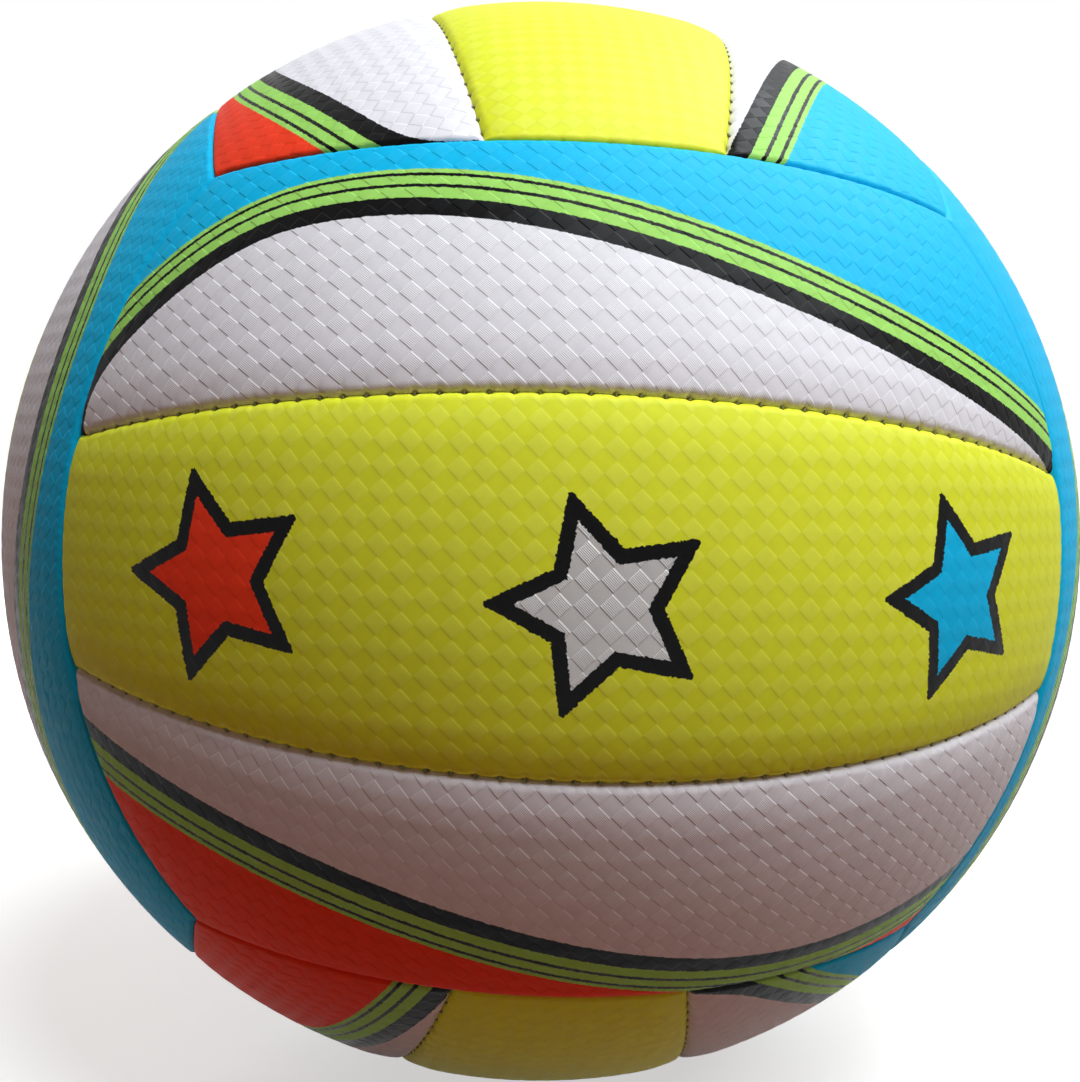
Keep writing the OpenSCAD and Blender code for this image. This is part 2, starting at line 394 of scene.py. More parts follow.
def weave(along, across):
    """Height of the basket weave, from 0 to 1: ribbed strands, dipping at a cell's ends, over smooth ones."""
    u = (along + across) / WEAVE_PITCH_MM
    w = (across - along) / WEAVE_PITCH_MM
    cell_u, cell_w = np.floor(u), np.floor(w)
    is_ribbed = (cell_u + cell_w) % 2 == 0
    in_u, in_w = u - cell_u, w - cell_w
    side = np.minimum(np.minimum(in_u, 1 - in_u) / BEVEL_SIDE, 1)
    end = np.minimum(np.minimum(in_w, 1 - in_w) / BEVEL_END, 1)
    ribbed = side * (1 - BEVEL_END_FALL * (1 - end)) * (1 - RIBBED_SAG * (2 * in_w - 1) ** 2)
    smooth = SMOOTH_RISE * (1 - (2 * in_u - 1) ** 2)
    return np.where(is_ribbed, ribbed, smooth)


def soft_weave(along, across):
    """The weave with its steps softened over a few neighbouring places."""
    offsets = (-WEAVE_SOFTNESS_MM, 0, WEAVE_SOFTNESS_MM)
    return sum(weave(along + a, across + b) for a in offsets for b in offsets) / len(offsets) ** 2


def weave_fade(points, seams):
    """Strength of the weave: full on the strip, none at its rolled edges."""
    nearest = np.min([edge_distance(points, seam) for seam in seams], axis=0)
    return np.clip(nearest / WEAVE_FADE, 0, 1)


def dents(points):
    """Slow unevenness of the stuffed cover, from -1 to 1."""
    waves = [np.sin(points / BALL_R @ np.array(steps) + phase) for steps, phase in DENT_WAVES]
    return sum(waves) / len(waves)


def with_hole(points, half_cells):
    """Grid with its lines bent so that a square of cells round its middle becomes the round valve hole, and
    the hole as slices of cells. A half width of 0 leaves the grid as it is."""
    if not half_cells:
        return points, None
    shape = points.shape[:2]
    middle = [count // 2 for count in shape]
    side = np.maximum(*[np.abs(line - at) for line, at in zip(np.indices(shape), middle)])
    place = points[..., :2]
    distance = np.maximum(norm(place), TINY)
    outer_cells = HOLE_BLEND * half_cells
    share = np.clip((outer_cells - side) / (outer_cells - half_cells), 0, 1)
    blend = share * share * (3 - 2 * share)
    wanted = HOLE_R * side / half_cells
    place = place * (1 + blend * (wanted / distance - 1))[..., None]
    height = np.sqrt(norm(points) ** 2 - (place ** 2).sum(-1))
    bent = np.concatenate([place, height[..., None]], -1)
    hole = tuple(slice(at - half_cells, at + half_cells) for at in middle)
    return np.where((side < outer_cells)[..., None], bent, points), hole


def pillow_dip(points, seams):
    """Depth by which the stuffed strip falls away towards its seams."""
    shares = [np.clip(1 - edge_distance(points, seam) / PILLOW_REACH, 0, 1) for seam in seams]
    return about_deepest([seam.pillow * share ** 2 for seam, share in zip(seams, shares)])


def pucker_depth(points, seam):
    """Depth to which a stitch pulls the leather in, at its place on the seam."""
    return seam.pucker * np.exp(-edge_distance(points, seam) / PUCKER_REACH)


def outer_surface(seams, is_outer, base):
    """Grid of the leather's outer face: rolled edges, pillow, puckers at the stitches, and the weave."""
    dip = pillow_dip(base, seams) - DENT_DEPTH * dents(base)
    points = rolled(base, seams, OUTER_INSET, BALL_R, dip)
    normals = unit(np.cross(*np.gradient(points, axis=(0, 1))))
    height = soft_weave(*strip_coordinates(base, is_outer)) - WEAVE_LEVEL
    relief = WEAVE_H * height * weave_fade(base, seams)
    for seam in seams:
        closeness = np.exp(-(stitch_distance(base, seam) / PUCKER_LENGTH) ** 2)
        relief = relief - closeness * pucker_depth(base, seam)
    return kept_inside(points + normals * relief[..., None], base, seams, OUTER_INSET)


def inner_surface(seams, base):
    """Grid of the leather's inner face: it gives way where the outer face dips deepest."""
    outer_dip = pillow_dip(base, seams) + sum(pucker_depth(base, seam) for seam in seams)
    dip = np.maximum(outer_dip - SKIN_T + LEAST_SKIN, 0)
    points = rolled(base, seams, INNER_INSET, BALL_R - SKIN_T, dip, SKIN_T)
    return kept_inside(points, base, seams, INNER_INSET)


def grid_index(shape):
    return np.arange(shape[0] * shape[1]).reshape(shape)


def border(shape):
    """Indices of a grid's border, counter-clockwise from the first corner."""
    index = grid_index(shape)
    return np.concatenate([index[:-1, 0], index[-1, :-1], index[:0:-1, -1], index[0, :0:-1]])


def turned_in_ends(rim, shape, seams, inset):
    """Ends of the turned-in edge below a grid's border, at its full depth in the seam planes."""
    low, high, left, right = seams
    along, across = shape
    ends = []
    for seam, before, count in ((low, left, along), (right, low, across),
                                (high, right, along), (left, high, across)):
        side, rim = rim[:count - 1], rim[count - 1:]
        plane = seam.at(inset)
        level = side - (side @ seam.normal)[:, None] * seam.normal
        side = plane * seam.normal + unit(level) * sqrt(TURNED_IN_R ** 2 - plane ** 2)
        side[0] = meeting_point(seam, before, inset, TURNED_IN_R)
        ends.append(side)
    return np.concatenate(ends)


def grid_quads(shape, hole):
    """Faces of a grid of vertices, without those inside the hole's square of cells."""
    index = grid_index(shape)
    quads = np.stack([index[:-1, :-1], index[1:, :-1], index[1:, 1:], index[:-1, 1:]], -1)
    kept = np.ones(quads.shape[:2], bool)
    if hole:
        kept[hole] = False
    return quads[kept]


def grid_places(shape):
    """Places of a grid's vertices in a unit square."""
    lines = [np.linspace(0, 1, count) for count in shape]
    return np.stack(np.meshgrid(*lines, indexing="ij"), -1).reshape(-1, 2)


def wall(upper, lower, outward=True):
    """Faces between two closed rings, and their corners' places in a unit square. The upper ring may have
    several vertices for each of the lower one's."""
    count, step = len(lower), len(upper) // len(lower)
    faces, places = [], []
    for j in range(count):
        fine = [(upper[(j * step + k) % len(upper)], ((j + k / step) / count, 1)) for k in range(step + 1)]
        ends = [(lower[(j + k) % count], ((j + k) / count, 0)) for k in range(2)]
        corners = fine[:1] + ends + fine[:0:-1] if outward else fine + ends[::-1]
        faces.append([int(vertex) for vertex, _ in corners])
        places += [place for _, place in corners]
    return faces, places


class Face:
    """Face of a shell: plain sphere points, points over them, rim, ends of the turned-in edge, and hole."""

    def __init__(self, base, points, hole, seams, inset):
        self.shape = base.shape[:2]
        self.hole = hole
        self.flat = base.reshape(-1, 3)
        self.points = points.reshape(-1, 3)
        self.rim = border(self.shape)
        self.ends = turned_in_ends(self.points[self.rim], self.shape, seams, inset)

    def ring(self):
        """Indices of the vertices round the hole, counter-clockwise."""
        block = grid_index(self.shape)[tuple(slice(cells.start, cells.stop + 1) for cells in self.hole)]
        return block.ravel()[border(block.shape)]


def outer_face(seams, is_outer, lines, hole_cells):
    base, hole = with_hole(patch(seams, OUTER_INSET, BALL_R, *lines), hole_cells)
    return Face(base, outer_surface(seams, is_outer, base), hole, seams, OUTER_INSET)


def inner_face(seams, lines, hole_cells):
    """Inner face on every few of the outer face's lines."""
    lines = [line[::COARSE] for line in lines]
    base, hole = with_hole(patch(seams, INNER_INSET, BALL_R - SKIN_T, *lines), hole_cells // COARSE)
    return Face(base, inner_surface(seams, base), hole, seams, INNER_INSET)


class Shell:
    """Closed leather shell of a strip on +Z: vertices, faces, strip coordinates and bake map."""

    def __init__(self, is_outer, has_hole=False):
        self.is_outer = is_outer
        self.faces, self.corners = [], []
        seams, lines = strip_seams(is_outer), strip_lines(is_outer)
        hole_cells = COARSE * round(HOLE_R / CELL / COARSE) if has_hole else 0
        outside = outer_face(seams, is_outer, lines, hole_cells)
        inside = inner_face(seams, lines, hole_cells)
        rings, inner_first = self.join(outside, inside, seams)
        self.add_front(outside)
        for row, (upper, lower) in enumerate(zip(rings, rings[1:])):
            self.add_faces(*wall(upper, lower), (0, row * MAP_ROW_H, 1, (row + 1) * MAP_ROW_H))
        self.add_back(inside, inner_first)
        if has_hole:
            self.add_faces(*wall(outside.ring(), inner_first + inside.ring(), outward=False), MAP_HOLE)
            self.drop_unused()
        self.corners = np.concatenate(self.corners)

    def join(self, outside, inside, seams):
        """Takes up the vertices of both faces and of the turned-in edge between them. Returns the rings down
        that edge and the number of the inner face's first vertex."""
        rim = outside.points[outside.rim]
        shares = np.arange(1, FLANGE_ROWS + 1) / FLANGE_ROWS
        flange = [rim + share * (outside.ends - rim) for share in shares]
        blocks = [outside.points, *flange, inside.ends, inside.points]
        starts = np.cumsum([0] + [len(block) for block in blocks])
        edges = [first + np.arange(len(block)) for first, block in zip(starts[1:], blocks[1:-1])]
        inner_first = starts[-2]
        self.points = np.concatenate(blocks)
        flat_edges = [outside.flat[outside.rim]] * FLANGE_ROWS + [inside.flat[inside.rim]]
        flat = np.concatenate([outside.flat, *flat_edges, inside.flat])
        self.along, self.across = strip_coordinates(flat, self.is_outer)
        self.fade = weave_fade(flat, seams)
        return [outside.rim, *edges, inner_first + inside.rim], inner_first

    def add_faces(self, faces, places, window):
        """Adds faces with their corners' places, from a unit square, in a window of the bake map."""
        left, low, right, high = window
        self.faces += faces
        self.corners.append(np.reshape(places, (-1, 2)) * (right - left, high - low) + (left, low))

    def add_front(self, outside):
        """Adds the outer face, whose two halves lie one above the other on the bake map."""
        quads = grid_quads(outside.shape, outside.hole)
        places = grid_places(outside.shape)[quads]
        is_second = places[..., 0].mean(1) > 0.5
        for half, window in enumerate(MAP_FRONT):
            chosen = is_second == bool(half)
            self.add_faces(quads[chosen].tolist(), places[chosen] * (2, 1) - (half, 0), window)

    def add_back(self, inside, inner_first):
        """Adds the inner face, which looks the other way."""
        quads = grid_quads(inside.shape, inside.hole)[:, ::-1]
        self.add_faces((inner_first + quads).tolist(), grid_places(inside.shape)[quads], MAP_BACK)

    def drop_unused(self):
        """Leaves out the vertices of the cut-out cells."""
        used = np.zeros(len(self.points), bool)
        used[[vertex for face in self.faces for vertex in face]] = True
        number = np.cumsum(used) - 1
        self.faces = [number[face].tolist() for face in self.faces]
        self.points = self.points[used]
        self.along, self.across, self.fade = self.along[used], self.across[used], self.fade[used]


def strip_turn(group_turn, strip):
    """Turn of one strip about X, Y and Z. The last of a group is the first one turned half round."""
    x, y, z = (Matrix.Rotation(radians(angle), 3, axis) for angle, axis in zip(group_turn, "XYZ"))
    half = Matrix.Rotation(pi if strip == LAST else 0, 3, "Z")
    return np.array(z @ y @ x) @ np.array(half)


def band_distance(along, across, shift):
    """Distance outward from the edge of the white field, in millimetres."""
    shift_along, shift_across, steep_width = shift
    a = along - shift_along
    width = np.where(a < PRINT_PEAK, steep_width, PRINT_WIDTHS[1])
    bell = PRINT_RISE * np.exp(-((a - PRINT_PEAK) / width) ** 2)
    slope = -2 * (a - PRINT_PEAK) / width ** 2 * bell
    tip_at, tip_drop, tip_length = PRINT_TIP
    tip = tip_drop * np.exp(-np.maximum(along - tip_at, 0) / tip_length)
    edge = PRINT_BASE + bell - tip + shift_across
    slope = slope + tip / tip_length
    return (across - edge) / np.sqrt(1 + slope ** 2)


# Materials

# Leather: noises as scale and detail, heights as shares of the bump's depth
LEATHER_IOR = 1.46
WEAR_NOISE = (0.35, 3.0)
GRAIN_NOISE = (3.2, 4.0)
NOISE_MEAN = 0.5
RIB_HEIGHT = 0.13
GRAIN_HEIGHT = 0.14
EMBOSS_DEPTH = 0.08 * MM
# The weave's low spots are darkened towards this tone, more the lower they lie
LOW_SPOT_TONE = (0.045, 0.035, 0.03, 1)
LOW_SPOT_POWER = 4.0
LOW_SPOT_SHARE = 0.06
# Painted sheen: ribbed cells are mixed towards this pale grey, most on light inks
PAINTED_RIB_SHEEN = (0.8, 0.8, 0.8, 1)
RIB_SHEEN_POWER = 3.0
RIB_SHEEN_SHARE = 0.09
LEAST_SHADE = 0.92
WEAR_SHADE = 0.16
INK_ROUGHNESS = 0.30
MATT_ROUGHNESS = 0.16
MATT_GAIN = 7.0
RIB_ROUGHNESS = 0.05
WEAR_ROUGHNESS = 0.08
# Sheen, and strength of the embossing. The silver star is embossed more and is partly metal.
BANDED_SHEEN = 0.05
BANDED_CRISPNESS = 1.0
YELLOW_SHEEN = 0.08
YELLOW_CRISPNESS = 0.25
SILVER_CRISPNESS = 2.0
SILVER_METAL = 0.4
# Ragged edges of the ink: scale of the noise, and depth in millimetres
BAND_RAGGED = (2.4, 0.5)
STAR_RAGGED = (2.2, 0.75)

# Hidden layers with a mottled surface: two tones, spots to the metre, depth of the bump, roughness and sheen
Mottle = namedtuple("Mottle", "name dark light scale depth roughness sheen", defaults=(0.0,))
FOAM = Mottle("foam", (0.62, 0.61, 0.58, 1), (0.80, 0.79, 0.76, 1), 900.0, 0.12 * MM, 0.85, 0.2)
BLADDER = Mottle("bladder_rubber", (0.010, 0.010, 0.011, 1), (0.030, 0.030, 0.032, 1), 120.0, 0.05 * MM, 0.6)
HOUSING = Mottle("valve_rubber", (0.012, 0.012, 0.013, 1), (0.035, 0.034, 0.034, 1), 400.0, 0.04 * MM, 0.55)
CORE = Mottle("core_rubber", (0.10, 0.10, 0.10, 1), (0.18, 0.18, 0.175, 1), 500.0, 0.04 * MM, 0.6)
MOTTLE_DETAIL = 5.0
MOTTLE_STOPS = (0.3, 0.7)
MOTTLE_ROUGHNESS = 0.2
MOTTLE_FINENESS = 3
FINE_DETAIL = 4.0

# Lining cloth and thread: tones as stops of a ramp, bump as strength and depth, roughness as span and offset
CLOTH_SCALE = 700.0
CLOTH_DISTORTION = 0.6
CLOTH_TONES = [(0.2, (0.50, 0.46, 0.40, 1)), (0.9, (0.74, 0.70, 0.62, 1))]
CLOTH_BUMP = (0.7, 0.08 * MM)
CLOTH_ROUGHNESS = (-0.05, 0.95)
THREAD_TONES = [(0.1, (0.10, 0.092, 0.022, 1)), (0.9, (0.24, 0.225, 0.06, 1))]
THREAD_BUMP = (0.8, 0.08 * MM)
THREAD_ROUGHNESS = (0.2, 0.45)

# Sockets of a mix node that belong to its mix of colours
MIX_SHARE, MIX_FIRST, MIX_SECOND, MIX_RESULT = 0, 6, 7, 2


class Value:
    """Output of a shader node, for use in formulas."""

    def __init__(self, socket):
        self.socket = socket
        self.tree = socket.id_data

    def __add__(self, other):
        return calc("ADD", self, other)

    def __sub__(self, other):
        return calc("SUBTRACT", self, other)

    def __rsub__(self, other):
        return calc("SUBTRACT", other, self)

    def __mul__(self, other):
        return calc("MULTIPLY", self, other)

    def __truediv__(self, other):
        return calc("DIVIDE", self, other)

    def __pow__(self, other):
        return calc("POWER", self, other)


def feed(socket, value):
    """Sets a socket to a number or colour, or links it to another node's output."""
    if isinstance(value, Value):
        value.tree.links.new(value.socket, socket)
    else:
        socket.default_value = value


def feed_node(node, **inputs):
    """Feeds a node's inputs, whose names have _ for a space."""
    for key, value in inputs.items():
        feed(node.inputs[key.replace("_", " ")], value)


def add_node(tree, kind, settings=None, **inputs):
    """Adds a shader node and returns its outputs by name. Inputs are numbers, colours or Values."""
    node = tree.nodes.new("ShaderNode" + kind)
    for key, value in (settings or {}).items():
        setattr(node, key, value)
    feed_node(node, **inputs)
    return {socket.name: Value(socket) for socket in node.outputs}


def calc(operation, *values):
    """Result of a math node on numbers and at least one Value."""
    tree = next(value.tree for value in values if isinstance(value, Value))
    node = tree.nodes.new("ShaderNodeMath")
    node.operation = operation
    for socket, value in zip(node.inputs, values):
        feed(socket, value)
    return Value(node.outputs[0])


def mix(share, first, second):
    """Colour between two colours."""
    node = share.tree.nodes.new("ShaderNodeMix")
    node.data_type = "RGBA"
    for number, value in ((MIX_SHARE, share), (MIX_FIRST, first), (MIX_SECOND, second)):
        feed(node.inputs[number], value)
    return Value(node.outputs[MIX_RESULT])


def ramp(share, stops, stepped=True):
    """Colour ramp from (place, colour) stops."""
    node = share.tree.nodes.new("ShaderNodeValToRGB")
    node.color_ramp.interpolation = "CONSTANT" if stepped else "LINEAR"
    elements = node.color_ramp.elements
    while len(elements) < len(stops):
        elements.new(1)
    for element, (place, colour) in zip(elements, stops):
        element.position = place
        element.color = colour
    feed(node.inputs[0], share)
    return Value(node.outputs[0])


def attribute(tree, name, output):
    return add_node(tree, "Attribute", {"attribute_name": name})[output]


def object_place(tree):
    return add_node(tree, "TexCoord")["Object"]


def parts(vector):
    return add_node(vector.tree, "SeparateXYZ", Vector=vector).values()


def noise(place, scale, detail=2.0):
    return add_node(place.tree, "TexNoise", Vector=place, Scale=scale, Detail=detail)["Fac"]


def add_bump(shader, height, strength, depth):
    bump = add_node(height.tree, "Bump", Strength=strength, Distance=depth, Height=height)
    feed_node(shader, Normal=bump["Normal"])


def new_material(name):
    material = bpy.data.materials.new(name)
    material.use_nodes = True
    tree = material.node_tree
    return material, tree, tree.nodes["Principled BSDF"]


def bevel(part, reach):
    """Rise from 0 at both ends of a cell to 1 within a share of its width."""
    to_end = calc("MINIMUM", part, 1.0 - part)
    return calc("MINIMUM", to_end / reach, 1.0)


def arch(part, top, fall):
    """Height over a cell's width: the top in its middle, and less by the fall at its ends."""
    centred = part * 2.0 - 1.0
    return top - centred * centred * fall


def weave_group():
    """Node group with the weave's sharp relief and its ribs, from strip coordinates."""
    tree = bpy.data.node_groups.new("weave_relief", "ShaderNodeTree")
    tree.interface.new_socket("Strip", in_out="INPUT", socket_type="NodeSocketVector")
    for name in ("Relief", "Ribs", "Ribbed"):
        tree.interface.new_socket(name, in_out="OUTPUT", socket_type="NodeSocketFloat")
    source = tree.nodes.new("NodeGroupInput")
    sink = tree.nodes.new("NodeGroupOutput")
    along, across, fade = parts(Value(source.outputs[0]))
    u = (along + across) / WEAVE_PITCH_MM
    w = (across - along) / WEAVE_PITCH_MM
    smooth = calc("PINGPONG", calc("FLOOR", u) + calc("FLOOR", w), 1.0)
    ribbed = 1.0 - smooth
    in_u = calc("FRACT", u)
    in_w = calc("FRACT", w)
    over = arch(in_w, 1.0, RIBBED_SAG) * bevel(in_u, BEVEL_SIDE)
    over = over * (bevel(in_w, BEVEL_END) * BEVEL_END_FALL + (1 - BEVEL_END_FALL))
    under = arch(in_u, SMOOTH_RISE, SMOOTH_RISE)
    relief = over * ribbed + under * smooth
    ribs = calc("COSINE", in_u * (2 * pi * RIBS_PER_CELL)) * ribbed
    for socket, value in zip(sink.inputs, (relief, ribs, ribbed)):
        feed(socket, value * fade)
    return tree


class Leather:
    """Material of a strip in the making, with what all strips share: coordinates, weave, wear and sheen."""

    def __init__(self, name, group, sheen):
        self.material, self.tree, self.shader = new_material(name)
        self.strip = attribute(self.tree, "strip", "Vector")
        woven = add_node(self.tree, "Group", {"node_tree": group}, Strip=self.strip)
        self.relief, self.ribs, self.ribbed = woven.values()
        self.worn = noise(self.strip, *WEAR_NOISE)
        feed_node(self.shader, IOR=LEATHER_IOR, Specular_IOR_Level=sheen)

    def emboss(self, crispness):
        """Sets the bump of the weave, its ribs and the leather's grain."""
        height = self.relief + self.ribs * RIB_HEIGHT + noise(self.strip, *GRAIN_NOISE) * GRAIN_HEIGHT
        add_bump(self.shader, height * crispness, 1.0, EMBOSS_DEPTH)

    def ragged(self, distance, scale, depth):
        """A print's distance with the slight roughness of ink on embossed leather."""
        return distance + (noise(self.strip, scale) - NOISE_MEAN) * depth

    def finish(self, colour):
        """Sets colour and roughness: the low parts of the weave a little darker, ribs paler as painted sheen,
        and uneven wear.
        """
        lightness = add_node(self.tree, "RGBToBW", Color=colour)["Val"]
        # The low parts of the weave made darker
        darkened_low = mix((1.0 - self.relief) ** LOW_SPOT_POWER * LOW_SPOT_SHARE, colour, LOW_SPOT_TONE)
        # Painted sheen on the ribbed cells
        with_rib_sheen = mix(lightness ** RIB_SHEEN_POWER * RIB_SHEEN_SHARE * self.ribbed, darkened_low, PAINTED_RIB_SHEEN)
        value = self.worn * WEAR_SHADE + LEAST_SHADE
        shade = add_node(self.tree, "HueSaturation", Color=with_rib_sheen, Value=value)
        matt = calc("MINIMUM", lightness * MATT_GAIN, 1.0)
        roughness = matt * MATT_ROUGHNESS + INK_ROUGHNESS
        roughness = roughness + self.ribbed * RIB_ROUGHNESS + self.worn * WEAR_ROUGHNESS
        feed_node(self.shader, Base_Color=shade["Color"], Roughness=roughness)
        return self.material


def banded_leather(name, group, colour):
    """Leather of an outer strip: white field, black band, green band with two lines, and the outer colour."""
    leather = Leather(name, group, BANDED_SHEEN)
    leather.emboss(BANDED_CRISPNESS)
    band = leather.ragged(attribute(leather.tree, "band", "Fac"), *BAND_RAGGED)
    span = BLACK_BAND + GREEN_BAND + 2 * BAND_MARGIN
    stops = [(-BAND_MARGIN, WHITE), (0, BLACK), (BLACK_BAND, GREEN)]
    for line in GREEN_LINES:
        stops += [(BLACK_BAND + line, BLACK), (BLACK_BAND + line + GREEN_LINE_W, GREEN)]
    stops.append((BLACK_BAND + GREEN_BAND, colour))
    shares = [((place + BAND_MARGIN) / span, shown) for place, shown in stops]
    return leather.finish(ramp((band + BAND_MARGIN) / span, shares))


def plain_leather(name, group, colour):
    leather = Leather(name, group, YELLOW_SHEEN)
    leather.emboss(YELLOW_CRISPNESS)
    return leather.finish(colour)


def star_places(strip):
    """Number of the nearest star in the row of three, and the place from its middle towards its first tip and
    across, in millimetres."""
    along, across, _ = parts(strip)
    number = calc("ROUND", along / STAR_PITCH)
    is_outer = number * number
    star_along = number * STAR_PITCH + (1.0 - is_outer) * STAR_MIDDLE[0]
    star_across = number * STAR_RISE + is_outer * STAR_BOW + STAR_MIDDLE[1]
    return number, star_along - along, across - star_across


def star_distance(x, y):
    """Distance outward from the outline of a star with blunt tips, in millimetres."""
    half_turn = pi / STAR_TIPS
    angle = calc("PINGPONG", calc("ARCTAN2", y, x), half_turn)
    distance = calc("SQRT", x * x + y * y)
    from_tip = distance * calc("COSINE", angle) - STAR_TIP_R
    sideways = distance * calc("SINE", angle)
    notch_x, notch_y = STAR_NOTCH_R * cos(half_turn), STAR_NOTCH_R * sin(half_turn)
    side = hypot(STAR_TIP_R - notch_x, notch_y)
    outside = from_tip * (notch_y / side) + sideways * ((STAR_TIP_R - notch_x) / side)
    return calc("MAXIMUM", outside, from_tip + STAR_BLUNT)


def starred_leather(name, group, colour):
    """Leather of a middle strip with a row of three outlined stars, one tip of each along the strip."""
    leather = Leather(name, group, YELLOW_SHEEN)
    number, x, y = star_places(leather.strip)
    outside = leather.ragged(star_distance(x, y), *STAR_RAGGED)
    count = len(STAR_FILLS)
    from_middle = calc("ABSOLUTE", number)
    is_row = calc("LESS_THAN", from_middle, count / 2)
    inked = calc("LESS_THAN", outside, 0.0) * is_row
    filled = calc("LESS_THAN", outside, -STAR_OUTLINE) * is_row
    fill = ramp(number / count + 0.5, [(i / count, shown) for i, shown in enumerate(STAR_FILLS)])
    is_silver = filled * calc("LESS_THAN", from_middle, 0.5)
    feed_node(leather.shader, Metallic=is_silver * SILVER_METAL)
    leather.emboss(is_silver * SILVER_CRISPNESS + YELLOW_CRISPNESS)
    return leather.finish(mix(filled, mix(inked, colour, BLACK), fill))


def mottled_material(mottle):
    """Material of a hidden layer: two tones and a fine surface from noise."""
    material, tree, shader = new_material(mottle.name)
    place = object_place(tree)
    spots = noise(place, mottle.scale, MOTTLE_DETAIL)
    tones = list(zip(MOTTLE_STOPS, (mottle.dark, mottle.light)))
    roughness = (spots - NOISE_MEAN) * MOTTLE_ROUGHNESS + mottle.roughness
    add_bump(shader, noise(place, mottle.scale * MOTTLE_FINENESS, FINE_DETAIL), 1.0, mottle.depth)
    feed_node(shader, Base_Color=ramp(spots, tones, stepped=False), Roughness=roughness,
              Sheen_Weight=mottle.sheen)
    return material


def lining_material():
    """Woven cloth: crossing threads seen as a fine grid of bumps."""
    material, tree, shader = new_material("lining_cloth")
    place = object_place(tree)
    threads = [add_node(tree, "TexWave", {"bands_direction": axis}, Vector=place, Scale=CLOTH_SCALE,
                        Distortion=CLOTH_DISTORTION)["Fac"] for axis in "XYZ"]
    height = threads[0] + threads[1] + threads[2]
    add_bump(shader, height, *CLOTH_BUMP)
    feed_node(shader, Base_Color=ramp(height / len(threads), CLOTH_TONES, stepped=False),
              Roughness=height * CLOTH_ROUGHNESS[0] + CLOTH_ROUGHNESS[1])
    return material


def thread_material():
    """Waxed sewing thread: twisted strands run slanting round it."""
    material, tree, shader = new_material("thread")
    strands = calc("SINE", attribute(tree, "twist", "Fac")) * 0.5 + 0.5
    add_bump(shader, strands, *THREAD_BUMP)
    feed_node(shader, Base_Color=ramp(strands, THREAD_TONES, stepped=False),
              Roughness=strands * THREAD_ROUGHNESS[0] + THREAD_ROUGHNESS[1])
    return material


# Pieces

def add_object(name, data):
    obj = bpy.data.objects.new(name, data)
    bpy.context.scene.collection.objects.link(obj)
    return obj


def new_mesh(name, points, faces, material):
    mesh = bpy.data.meshes.new(name)
    mesh.from_pydata(points, [], faces)
    mesh.shade_smooth()
    mesh.materials.append(material)
    return mesh


def set_attribute(mesh, name, kind, values):
    field = "vector" if kind == "FLOAT_VECTOR" else "value"
    mesh.attributes.new(name, kind, "POINT").data.foreach_set(field, np.asarray(values, np.float32).ravel())


def panel(name, shell, turn, material):
    """One strip's leather shell in its place on the ball."""
    mesh = new_mesh(name, shell.points @ turn.T, shell.faces, material)
    set_attribute(mesh, "strip", "FLOAT_VECTOR", np.stack([shell.along, shell.across, shell.fade], -1))
    if shell.is_outer:
        shift = PRINT_SHIFTS.get(name.removesuffix("_cover"), PRINT_UNSHIFTED)
        set_attribute(mesh, "band", "FLOAT", band_distance(shell.along, shell.across, shift))
    mesh.uv_layers.new(name="OFBake").uv.foreach_set("vector", shell.corners.astype(np.float32).ravel())
    return add_object(name, mesh)


def stitch_shape(stitch):
    """Points, faces and twist of one stitch: a thread across the seam, along X, diving in at both ends."""
    x = np.linspace(-1, 1, STITCH_RINGS)[:, None]
    angle = np.linspace(0, 2 * pi, STITCH_SIDES, endpoint=False)[None]
    thick = THREAD_R * np.sqrt(1 - THREAD_TAPER * x ** TAPER_POWER)
    outward = thick * np.sin(angle) - stitch.sag * x ** 2
    points = np.stack(np.broadcast_arrays(stitch.half_width * x, thick * np.cos(angle), outward), -1)
    index = grid_index((STITCH_RINGS, STITCH_SIDES))
    after = np.roll(index, -1, axis=1)
    quads = np.stack([index[:-1], index[1:], after[1:], after[:-1]], -1).reshape(-1, 4)
    caps = [index[0].tolist(), index[-1, ::-1].tolist()]
    twist = 2 * pi * THREAD_TURNS * x + THREAD_STRANDS * angle
    return points.reshape(-1, 3), quads.tolist() + caps, twist.ravel()


def stitch_places(seam, end_x, depth):
    """Places and frames of a seam's stitches: across, along and outward directions."""
    radius = sqrt((BALL_R - depth) ** 2 - seam.height ** 2)
    half_length = seam.circle_r * asin(end_x * BALL_R / seam.circle_r) - STITCH_END
    count = int(half_length / STITCH_PITCH)
    angle = (np.arange(-count, count + 1) * STITCH_PITCH / seam.circle_r)[:, None]
    spoke = np.cos(angle) * seam.middle + np.sin(angle) * seam.sideways
    places = seam.height * seam.normal + radius * spoke
    outward = unit(places)
    lengthwise = unit(np.cos(angle) * seam.sideways - np.sin(angle) * seam.middle)
    return places, np.stack([np.cross(lengthwise, outward), lengthwise, outward], 1)


def stitches(name, seam, end_x, stitch, material):
    """All stitches of the twelve seams of one kind, as one piece."""
    shape, shape_faces, shape_twist = stitch_shape(stitch)
    places, frames = stitch_places(seam, end_x, stitch.depth)
    points, faces, twist = [], [], []
    for _, group_turn, _, _ in GROUPS:
        for strip in (FIRST, LAST):
            turn = strip_turn(group_turn, strip)
            for place, axes in zip(places, frames):
                first = len(points) * len(shape)
                faces += [[first + i for i in face] for face in shape_faces]
                points.append((place + shape @ axes) @ turn.T)
                twist.append(shape_twist)
    mesh = new_mesh(name, np.concatenate(points), faces, material)
    set_attribute(mesh, "twist", "FLOAT", np.concatenate(twist))
    return add_object(name, mesh)


